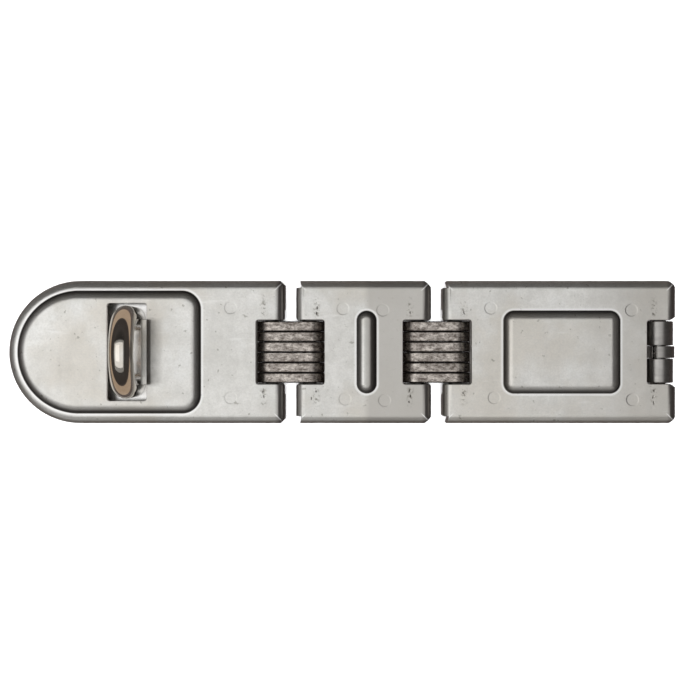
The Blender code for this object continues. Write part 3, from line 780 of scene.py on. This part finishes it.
class Tree:
    """Short calls for building a material's nodes."""

    def __init__(self, name):
        self.material = bpy.data.materials.new(name)
        self.material.use_nodes = True
        self.nodes = self.material.node_tree.nodes
        self.links = self.material.node_tree.links
        self.shader = self.nodes["Principled BSDF"]
        self.place = self.add("ShaderNodeTexCoord").outputs["Object"]

    def add(self, kind, **settings):
        node = self.nodes.new(kind)
        for key, value in settings.items():
            setattr(node, key, value)
        return node

    def feed(self, socket, value):
        """Link a socket or set a plain value."""
        if isinstance(value, bpy.types.NodeSocket):
            self.links.new(value, socket)
        else:
            socket.default_value = value

    def noise(self, scale, detail, roughness, stretch=(1.0, 1.0, 1.0)):
        """Noise from 0 to 1, in features per metre, stretched along an axis."""
        mapping = self.add("ShaderNodeMapping")
        self.feed(mapping.inputs["Vector"], self.place)
        mapping.inputs["Scale"].default_value = stretch
        node = self.add("ShaderNodeTexNoise")
        self.feed(node.inputs["Vector"], mapping.outputs["Vector"])
        self.feed(node.inputs["Scale"], scale)
        self.feed(node.inputs["Detail"], detail)
        self.feed(node.inputs["Roughness"], roughness)
        return node.outputs["Fac"]

    def spread(self, value, low, high, out_low=0.0, out_high=1.0):
        """Map a range onto another, clamped."""
        node = self.add("ShaderNodeMapRange")
        for name, number in (("From Min", low), ("From Max", high),
                             ("To Min", out_low), ("To Max", out_high), ("Value", value)):
            self.feed(node.inputs[name], number)
        return node.outputs["Result"]

    def fade(self, length, start, end, out_low=0.0, out_high=1.0):
        """Map a length in metres, from a range given in millimetres, clamped."""
        return self.spread(length, start * MM, end * MM, out_low, out_high)

    def math(self, operation, first, second=0.0):
        node = self.add("ShaderNodeMath", operation=operation)
        self.feed(node.inputs[0], first)
        self.feed(node.inputs[1], second)
        return node.outputs["Value"]

    def mix(self, amount, first, second):
        """Mix two colours by an amount."""
        node = self.add("ShaderNodeMix", data_type="RGBA")
        self.feed(node.inputs["Factor"], amount)
        for name, value in (("A", first), ("B", second)):
            socket = [s for s in node.inputs if s.name == name and s.type == "RGBA"][0]
            self.feed(socket, (*value, 1.0) if isinstance(value, tuple) else value)
        return [s for s in node.outputs if s.type == "RGBA"][0]

    def layers(self, tone, layers):
        """Mix in colours in turn, each with its field, the field's range and its most amount."""
        for field, low, high, amount, color in layers:
            tone = self.mix(self.spread(field, low, high, 0.0, amount), tone, color)
        return tone

    def place_axis(self, name):
        """One coordinate of the place on the object, in metres."""
        node = self.add("ShaderNodeSeparateXYZ")
        self.feed(node.inputs["Vector"], self.place)
        return node.outputs[name]

    def both(self, *values):
        """The product of several amounts."""
        product = values[0]
        for value in values[1:]:
            product = self.math("MULTIPLY", product, value)
        return product

    def nearest(self, value, places):
        """Distance in metres from the nearest of several places in millimetres."""
        least = None
        for place in places:
            distance = self.math("ABSOLUTE", self.math("SUBTRACT", value, place * MM))
            least = distance if least is None else self.math("MINIMUM", least, distance)
        return least

    def outline_distance(self, x_range, half, left, right):
        """Distance outwards from an outline, in metres, given its corner radii on each side."""
        middle = (x_range[0] + x_range[1]) / 2
        length = (x_range[1] - x_range[0]) / 2
        x = self.math("SUBTRACT", self.place_axis("X"), middle * MM)
        side = self.math("GREATER_THAN", x, 0.0)
        radius = self.math("ADD", self.math("MULTIPLY", side, (right - left) * MM), left * MM)
        offsets = []
        for along, limit in ((x, length), (self.place_axis("Y"), half)):
            reach = self.math("SUBTRACT", self.math("ABSOLUTE", along), limit * MM)
            offsets.append(self.math("ADD", reach, radius))
        squares = [self.math("POWER", self.math("MAXIMUM", offset, 0.0), 2.0)
                   for offset in offsets]
        outside = self.math("SQRT", self.math("ADD", *squares))
        inside = self.math("MINIMUM", self.math("MAXIMUM", *offsets), 0.0)
        return self.math("SUBTRACT", self.math("ADD", outside, inside), radius)

    def bumps(self, *fields):
        """Bumps over each other: each field with its strength and its depth in metres."""
        normal = None
        for field, strength, depth in fields:
            node = self.add("ShaderNodeBump")
            self.feed(node.inputs["Height"], field)
            self.feed(node.inputs["Strength"], strength)
            self.feed(node.inputs["Distance"], depth)
            if normal:
                self.feed(node.inputs["Normal"], normal)
            normal = node.outputs["Normal"]
        return normal

    def finish(self, tone, roughness, normal, metallic=1.0):
        """Feed the shader and give the material."""
        for name, value in (("Base Color", tone), ("Metallic", metallic),
                            ("Roughness", roughness), ("Normal", normal)):
            self.feed(self.shader.inputs[name], value)
        return self.material


# Plate: places in millimetres, amounts as shares
# Painted shade bands on the link and cover, where the key's reflection falls off: start, end, reach
# and amount
SHADE_BANDS = ((RIB_X, LINK_X[1] + 1.5, 0.9, 0.85), (COVER_X[1] - 23.5, COVER_X[1] + 1.0, 7.0, 0.5))
# Colour of the painted shade bands
SHADE_COLOR = (0.54, 0.52, 0.485)
# Colour of the painted shade on the right-hand bends
BEND_SHADE = (0.22, 0.20, 0.19)
# Colour of the painted shade down the rib's right side
RIB_SHADE = (0.24, 0.225, 0.21)
# Colour of the painted shade at the features' feet
FOOT_SHADE = (0.035, 0.03, 0.03)
# Colour of the painted shadow beside the tab
TAB_SHADOW = (0.16, 0.15, 0.135)
DENT_DIRT = (0.17, 0.155, 0.12)
# Colour of the painted highlights just outside the features' feet and along the corners' diagonals
HIGHLIGHT_COLOR = (0.97, 0.965, 0.95)


def feature_distances(tree):
    """Distances outwards from the feet of the hasp's panel, the cover's panel and the rib."""
    return [
        tree.outline_distance(HASP_PANEL_X, HASP_PANEL_HALF, HASP_PANEL_HALF, HASP_PANEL_CORNER),
        tree.outline_distance(COVER_PANEL_X, COVER_PANEL_HALF,
                              COVER_PANEL_CORNER, COVER_PANEL_CORNER),
        tree.outline_distance((RIB_X - RIB_HALF_WIDTH, RIB_X + RIB_HALF_WIDTH), RIB_HALF_LENGTH,
                              RIB_HALF_WIDTH, RIB_HALF_WIDTH)]


def shaded_plate(tree, tone, x, rib_distance):
    """Painted shade: darker bands on the link and cover where the key's reflection falls off, on
    the right-hand bends and down the rib's right side.
    """
    # Painted shade bands on the link and cover
    bands = []
    for start, end, reach, amount in SHADE_BANDS:
        rise = tree.fade(x, start - reach, start + reach, 0.0, amount)
        bands.append(tree.both(rise, tree.math("LESS_THAN", x, end * MM)))
    tone = tree.mix(tree.math("ADD", *bands), tone, SHADE_COLOR)
    # Painted shade on the right-hand bends
    right_bends = tree.nearest(x, (HASP_X[1], LINK_X[1], COVER_X[1]))
    tone = tree.mix(tree.fade(right_bends, 2.9, 1.3, 0.0, 0.85), tone, BEND_SHADE)
    # Painted shade down the rib's right side
    rib_side_shade = tree.both(tree.fade(x, RIB_X - 0.9, RIB_X + 1.7),
                         tree.fade(rib_distance, 0.0, -0.3), 0.75)
    return tree.mix(rib_side_shade, tone, RIB_SHADE)


def painted_shade_and_dirt(tree, tone, x, side, front, distance, bloom):
    """Painted shade at the features' feet, a painted shadow beside the tab, and dirt round the
    stake dents.
    """
    # Painted shade along the features' feet
    feet = tree.both(tree.fade(distance, 0.12, 0.0), tree.fade(distance, -1.75, -0.45), front, 0.93)
    tone = tree.mix(feet, tone, FOOT_SHADE)
    # Painted shadow on the tab's bend and the plate to its right
    bend_x = TAB_X + SHEET
    foot_x = bend_x + TAB_BEND
    tab_shadow = tree.both(
        tree.fade(x, bend_x - 0.15, bend_x), tree.fade(x, foot_x + 3.2, foot_x - 0.1),
        tree.fade(side, TAB_HALF + 0.8, TAB_HALF - 0.8),
        tree.spread(bloom, 0.35, 0.6, 0.6, 1.0), 0.85)
    tone = tree.mix(tab_shadow, tone, TAB_SHADOW)
    grime = tree.both(
        tree.fade(tree.nearest(x, DENT_ROWS), 1.3, 0.2), tree.fade(side, 10.2, 10.8),
        tree.fade(side, 16.6, 14.0), tree.spread(tree.noise(1100.0, 4.0, 0.7), 0.50, 0.60), 0.7)
    return tree.mix(grime, tone, DENT_DIRT)


def corner_highlights(tree, x, side):
    """How much painted highlight shows along the diagonal where the two bends meet at the plates'
    corners.
    """
    ends = tree.nearest(x, (HASP_X[1], *LINK_X, *COVER_X))
    inward = tree.math("SUBTRACT", HALF_WIDTH * MM, side)
    off_line = tree.math("ABSOLUTE", tree.math("SUBTRACT", ends, inward))
    return tree.both(tree.fade(off_line, 0.3, 0.04), tree.fade(inward, 3.2, 2.4),
                     tree.fade(inward, 0.7, 1.3))


def satin_zinc():
    """Zinc plate: cloudy tone, fine grain, stains, scuffs and dirt, with painted shade, a painted
    shadow beside the tab and painted highlights at the features' feet and the corners.
    """
    tree = Tree("satin_zinc")
    cloud = tree.noise(70.0, 5.0, 0.6)
    patch = tree.noise(34.0, 4.0, 0.6)
    bloom = tree.noise(120.0, 5.0, 0.7, (1.0, 0.7, 1.0))
    grain = tree.noise(1900.0, 3.0, 0.6)
    scuff = tree.noise(260.0, 6.0, 0.7, (1.0, 0.25, 1.0))
    speck = tree.noise(620.0, 2.0, 0.5)
    scratch = tree.noise(420.0, 3.0, 0.5, (0.16, 1.0, 1.0))
    mottle = tree.noise(300.0, 6.0, 0.72)
    tone = tree.layers((0.83, 0.82, 0.79), (
        (cloud, 0.36, 0.64, 1.0, (0.725, 0.715, 0.68)),
        (mottle, 0.42, 0.66, 0.6, (0.63, 0.62, 0.585)),
        (bloom, 0.52, 0.66, 0.5, (0.83, 0.835, 0.82)),
        (patch, 0.50, 0.64, 0.6, (0.70, 0.655, 0.58)),
        (grain, 0.35, 0.75, 0.4, (0.55, 0.54, 0.51)),
        (speck, 0.69, 0.75, 0.6, (0.30, 0.29, 0.25)),
        (scratch, 0.68, 0.76, 0.4, (0.90, 0.89, 0.87))))
    x = tree.place_axis("X")
    side = tree.math("ABSOLUTE", tree.place_axis("Y"))
    front = tree.math("GREATER_THAN", tree.place_axis("Z"), (PLATE_TOP - 0.9) * MM)
    hasp_panel, cover_panel, rib = feature_distances(tree)
    distance = tree.math("MINIMUM", tree.math("MINIMUM", hasp_panel, cover_panel), rib)
    # Painted shade: bands, right-hand bends and the rib's right side
    tone = shaded_plate(tree, tone, x, rib)
    # Painted shade at the feet and a painted shadow beside the tab, with real dirt round the stake
    # dents
    tone = painted_shade_and_dirt(tree, tone, x, side, front, distance, bloom)
    # Painted highlight in a thin line just outside the features' feet, on the top
    rim_highlight = tree.both(tree.fade(distance, 0.05, 0.2), tree.fade(distance, 0.9, 0.45), front, 0.75)
    # Painted highlight along the diagonal where the bends meet at the corners
    mitre_highlight = corner_highlights(tree, x, side)
    tone = tree.mix(tree.math("MAXIMUM", rim_highlight, tree.both(mitre_highlight, 0.8)), tone, HIGHLIGHT_COLOR)
    rough = tree.math("ADD", tree.spread(cloud, 0.3, 0.7, 0.29, 0.35),
                      tree.spread(scuff, 0.5, 0.75, 0.0, 0.08))
    normal = tree.bumps((grain, 0.16, 0.00006), (speck, 0.12, 0.0001), (mottle, 0.10, 0.00012),
                        (cloud, 0.35, 0.00025))
    # The painted corner highlight also lowers the metallic share there
    return tree.finish(tone, rough, normal, tree.spread(mitre_highlight, 0.0, 1.0, 0.97, 0.8))


def leaf_steel():
    """Stamped leaves: streaky, mottled plating with a warm tint, and painted shade on their edges
    along the gaps between them.
    """
    tree = Tree("leaf_steel")
    blotch = tree.noise(850.0, 6.0, 0.75, (0.6, 1.0, 1.0))
    fine = tree.noise(1900.0, 4.0, 0.7, (0.5, 1.0, 1.0))
    # Painted shade on each leaf's edges next to the gaps in the pack
    seam_shade = tree.math("PINGPONG", tree.place_axis("Y"), LEAF_PITCH / 2 * MM)
    tone = tree.layers((0.20, 0.17, 0.15), (
        (blotch, 0.38, 0.62, 1.0, (0.76, 0.70, 0.64)),
        (fine, 0.5, 0.68, 0.75, (0.10, 0.08, 0.07)),
        (seam_shade, 0.5 * MM, 0.16 * MM, 0.9, (0.05, 0.04, 0.035))))
    rough = tree.spread(blotch, 0.3, 0.7, 0.46, 0.26)
    return tree.finish(tone, rough, tree.bumps((blotch, 0.55, 0.00014), (fine, 0.35, 0.00006)))


def bracket_steel():
    """Duller plate on the brackets, hinge tongue and mounting leaf, brushed along X."""
    tree = Tree("bracket_steel")
    streak = tree.noise(900.0, 4.0, 0.6, (0.15, 1.0, 1.0))
    cloud = tree.noise(120.0, 4.0, 0.6)
    tone = tree.layers((0.56, 0.545, 0.52), (
        (cloud, 0.3, 0.7, 1.0, (0.40, 0.385, 0.365)),
        (streak, 0.4, 0.7, 0.4, (0.29, 0.28, 0.265))))
    rough = tree.spread(streak, 0.3, 0.7, 0.28, 0.42)
    return tree.finish(tone, rough, tree.bumps((streak, 0.15, 0.00006)))


def bright_zinc():
    """Smooth bright plate on the staple's base, hidden but for what shows through the slot."""
    tree = Tree("bright_zinc")
    cloud = tree.noise(90.0, 4.0, 0.6)
    scratch = tree.noise(900.0, 4.0, 0.6, (1.0, 0.15, 1.0))
    tone = tree.layers((0.95, 0.945, 0.93), ((cloud, 0.3, 0.7, 1.0, (0.87, 0.86, 0.84)),))
    rough = tree.spread(scratch, 0.3, 0.7, 0.13, 0.2)
    return tree.finish(tone, rough, tree.bumps((scratch, 0.08, 0.00004)))


def pin_steel():
    """Ground bar with fine turning marks round its length."""
    tree = Tree("pin_steel")
    marks = tree.noise(2600.0, 2.0, 0.5, (0.1, 1.0, 0.1))
    tone = tree.layers((0.62, 0.61, 0.59), ((marks, 0.35, 0.65, 1.0, (0.5, 0.49, 0.475)),))
    rough = tree.spread(marks, 0.3, 0.7, 0.22, 0.34)
    return tree.finish(tone, rough, tree.bumps((marks, 0.1, 0.00004)))


def staple_chrome():
    """Polished hardened bar with a warm tint and faint handling marks."""
    tree = Tree("staple_chrome")
    smear = tree.noise(160.0, 5.0, 0.65)
    scratch = tree.noise(1500.0, 3.0, 0.6, (1.0, 0.12, 0.12))
    tone = tree.layers((0.88, 0.84, 0.78), ((smear, 0.35, 0.7, 1.0, (0.74, 0.68, 0.59)),))
    rough = tree.math("ADD", tree.spread(smear, 0.35, 0.7, 0.05, 0.1),
                      tree.spread(scratch, 0.6, 0.8, 0.0, 0.06))
    return tree.finish(tone, rough, tree.bumps((smear, 0.08, 0.0001)))


# ---------- studio

CAMERA_X = 2.07
CAMERA_Y = 0.6
CAMERA_HEIGHT = 450.0
LENS = 78.85
SENSOR_WIDTH = 36.0
NEAR_LIMIT = 0.01

FLOOR_HALF = 3000.0
FLOOR_Z = (-6.0, -0.2)
FLOOR_COLOR = (0.9, 0.9, 0.9, 1.0)
FLOOR_ROUGHNESS = 0.9
FILL_STRENGTH = 4.5
FILL_ANGLE = 14.0

# Overhead keys: name, height, X range, Y range and radiance
KEYS = (("outer_key", 912.0, (-1450.0, 620.0), (-1100.0, 520.0), 0.22),
        ("middle_key", 906.0, (-1100.0, 410.0), (-720.0, 400.0), 0.57),
        ("core_key", 900.0, (-800.0, -130.0), (-380.0, 290.0), 0.34))

# Upright cards: name, X, Y and radiance
SIDE_CARDS = (("front_card", 0.0, -1300.0, 0.32), ("back_card", 0.0, 1300.0, 0.035),
              ("left_card", -1400.0, 0.0, 0.10), ("right_card", 1400.0, 0.0, 0.02))
SIDE_CARD_SIZE = (2600.0, 1000.0)
SIDE_CARD_Z = 570.0

# Low warm cards: name, X range and Y range
WARM_CARDS = (("warm_back", (-420.0, 240.0), (24.5, 420.0)),
              ("warm_front", (-420.0, 240.0), (-420.0, -24.5)),
              ("warm_left", (-420.0, -103.0), (-24.5, 24.5)))
WARM_CARD_Z = PANEL_TOP + 0.4
WARM_RADIANCE = 0.31
WARM_COLOR = (1.0, 0.76, 0.53)

# The room's colour from straight down, 0, to straight up, 1
ROOM = ((0.0, (0.13, 0.11, 0.103)), (0.47, (0.09, 0.076, 0.072)), (0.54, (0.045, 0.039, 0.037)),
        (0.75, (0.05, 0.045, 0.043)), (0.88, (0.03, 0.028, 0.027)), (1.0, (0.012, 0.012, 0.012)))


def build_floor():
    """A pale floor just under the object, kept out of its reflections."""
    surface = bpy.data.materials.new("studio_floor")
    surface.use_nodes = True
    shader = surface.node_tree.nodes["Principled BSDF"]
    shader.inputs["Base Color"].default_value = FLOOR_COLOR
    shader.inputs["Roughness"].default_value = FLOOR_ROUGHNESS
    floor = prism("studio_floor", rectangle((-FLOOR_HALF, FLOOR_HALF), FLOOR_HALF), *FLOOR_Z,
                  material=surface)
    floor.visible_glossy = False
    return floor


def area_light(name, centre, size, radiance, turn=(0.0, 0.0, 0.0)):
    """A rectangular light of a given radiance, which faces down before it is turned."""
    light = bpy.data.lights.new(name, "AREA")
    light.shape = "RECTANGLE"
    light.size = size[0] * MM
    light.size_y = size[1] * MM
    light.energy = radiance * math.pi * size[0] * size[1] * MM * MM
    item = bpy.data.objects.new(name, light)
    bpy.context.scene.collection.objects.link(item)
    item.location = Vector(centre) * MM
    item.rotation_euler = turn
    return item


def flat_light(name, x, y, z, radiance, turn=(0.0, 0.0, 0.0)):
    """A level rectangular light over the given ranges."""
    return area_light(name, (sum(x) / 2, sum(y) / 2, z), (x[1] - x[0], y[1] - y[0]), radiance, turn)


def light_only(card, receivers):
    """Let a card light only a collection's objects, and hide it from the camera."""
    card.visible_camera = False
    card.light_linking.receiver_collection = receivers


def build_lights():
    """Nested soft keys, brightest to the left, and a soft sun that no reflection shows."""
    for name, z, x, y, radiance in KEYS:
        flat_light(name, x, y, z, radiance)
    fill = bpy.data.lights.new("floor_fill", "SUN")
    fill.energy = FILL_STRENGTH
    fill.angle = math.radians(FILL_ANGLE)
    fill_item = bpy.data.objects.new("floor_fill", fill)
    fill_item.visible_glossy = False
    bpy.context.scene.collection.objects.link(fill_item)


def build_warm_cards(staple):
    """Tan cards round the object, facing up, which only the staple's polished bow reflects."""
    only_staple = bpy.data.collections.new("staple_only")
    only_staple.objects.link(staple)
    for name, x, y in WARM_CARDS:
        card = flat_light(name, x, y, WARM_CARD_Z, WARM_RADIANCE, (math.pi, 0.0, 0.0))
        card.data.color = WARM_COLOR
        light_only(card, only_staple)


def build_side_cards(staple, floor):
    """Upright soft cards for the plates' sides; the polished staple keeps the dark room."""
    pieces = bpy.data.collections.new("all_but_staple")
    for item in bpy.context.scene.objects:
        if item.type == "MESH" and item not in (staple, floor):
            pieces.objects.link(item)
    for name, x, y, radiance in SIDE_CARDS:
        turn = Vector((-x, -y, 0.0)).to_track_quat("-Z", "Y").to_euler()
        card = area_light(name, (x, y, SIDE_CARD_Z), SIDE_CARD_SIZE, radiance, turn)
        light_only(card, pieces)


def build_world():
    """A dark room, a little lighter and warmer below the floor's level."""
    world = bpy.data.worlds.new("room")
    bpy.context.scene.world = world
    world.use_nodes = True
    nodes, links = world.node_tree.nodes, world.node_tree.links
    direction = nodes.new("ShaderNodeTexCoord")
    split = nodes.new("ShaderNodeSeparateXYZ")
    height = nodes.new("ShaderNodeMapRange")
    height.inputs["From Min"].default_value = -1.0
    ramp = nodes.new("ShaderNodeValToRGB")
    links.new(direction.outputs["Generated"], split.inputs["Vector"])
    links.new(split.outputs["Z"], height.inputs["Value"])
    links.new(height.outputs["Result"], ramp.inputs["Fac"])
    links.new(ramp.outputs["Color"], nodes["Background"].inputs["Color"])
    elements = ramp.color_ramp.elements
    for index, (position, color) in enumerate(ROOM):
        if index in (0, len(ROOM) - 1):
            element = elements[0 if index == 0 else len(elements) - 1]
            element.position = position
        else:
            element = elements.new(position)
        element.color = (*color, 1.0)


def build_camera():
    """A camera straight above, at the product view's distance."""
    camera = bpy.data.cameras.new("camera")
    camera.lens = LENS
    camera.sensor_width = SENSOR_WIDTH
    camera.clip_start = NEAR_LIMIT
    item = bpy.data.objects.new("camera", camera)
    item.location = (CAMERA_X * MM, CAMERA_Y * MM, (PLATE_TOP + CAMERA_HEIGHT) * MM)
    bpy.context.scene.collection.objects.link(item)
    bpy.context.scene.camera = item


def build():
    """The object, then the studio round it."""
    zinc = satin_zinc()
    steel = bracket_steel()
    build_hasp_plate(zinc)
    build_link_plate(zinc)
    build_cover_plate(zinc)
    build_leaves(leaf_steel())
    build_pins(pin_steel())
    build_brackets(steel)
    build_mounting_leaf(steel)
    build_hinge_tongue(steel)
    bow = build_staple_loop(staple_chrome())
    build_staple_plate(bright_zinc())
    floor = build_floor()
    build_warm_cards(bow)
    build_side_cards(bow, floor)
    build_lights()
    build_world()
    build_camera()
    bpy.context.scene.view_settings.view_transform = "Standard"


build()
bpy.context.view_layer.update()
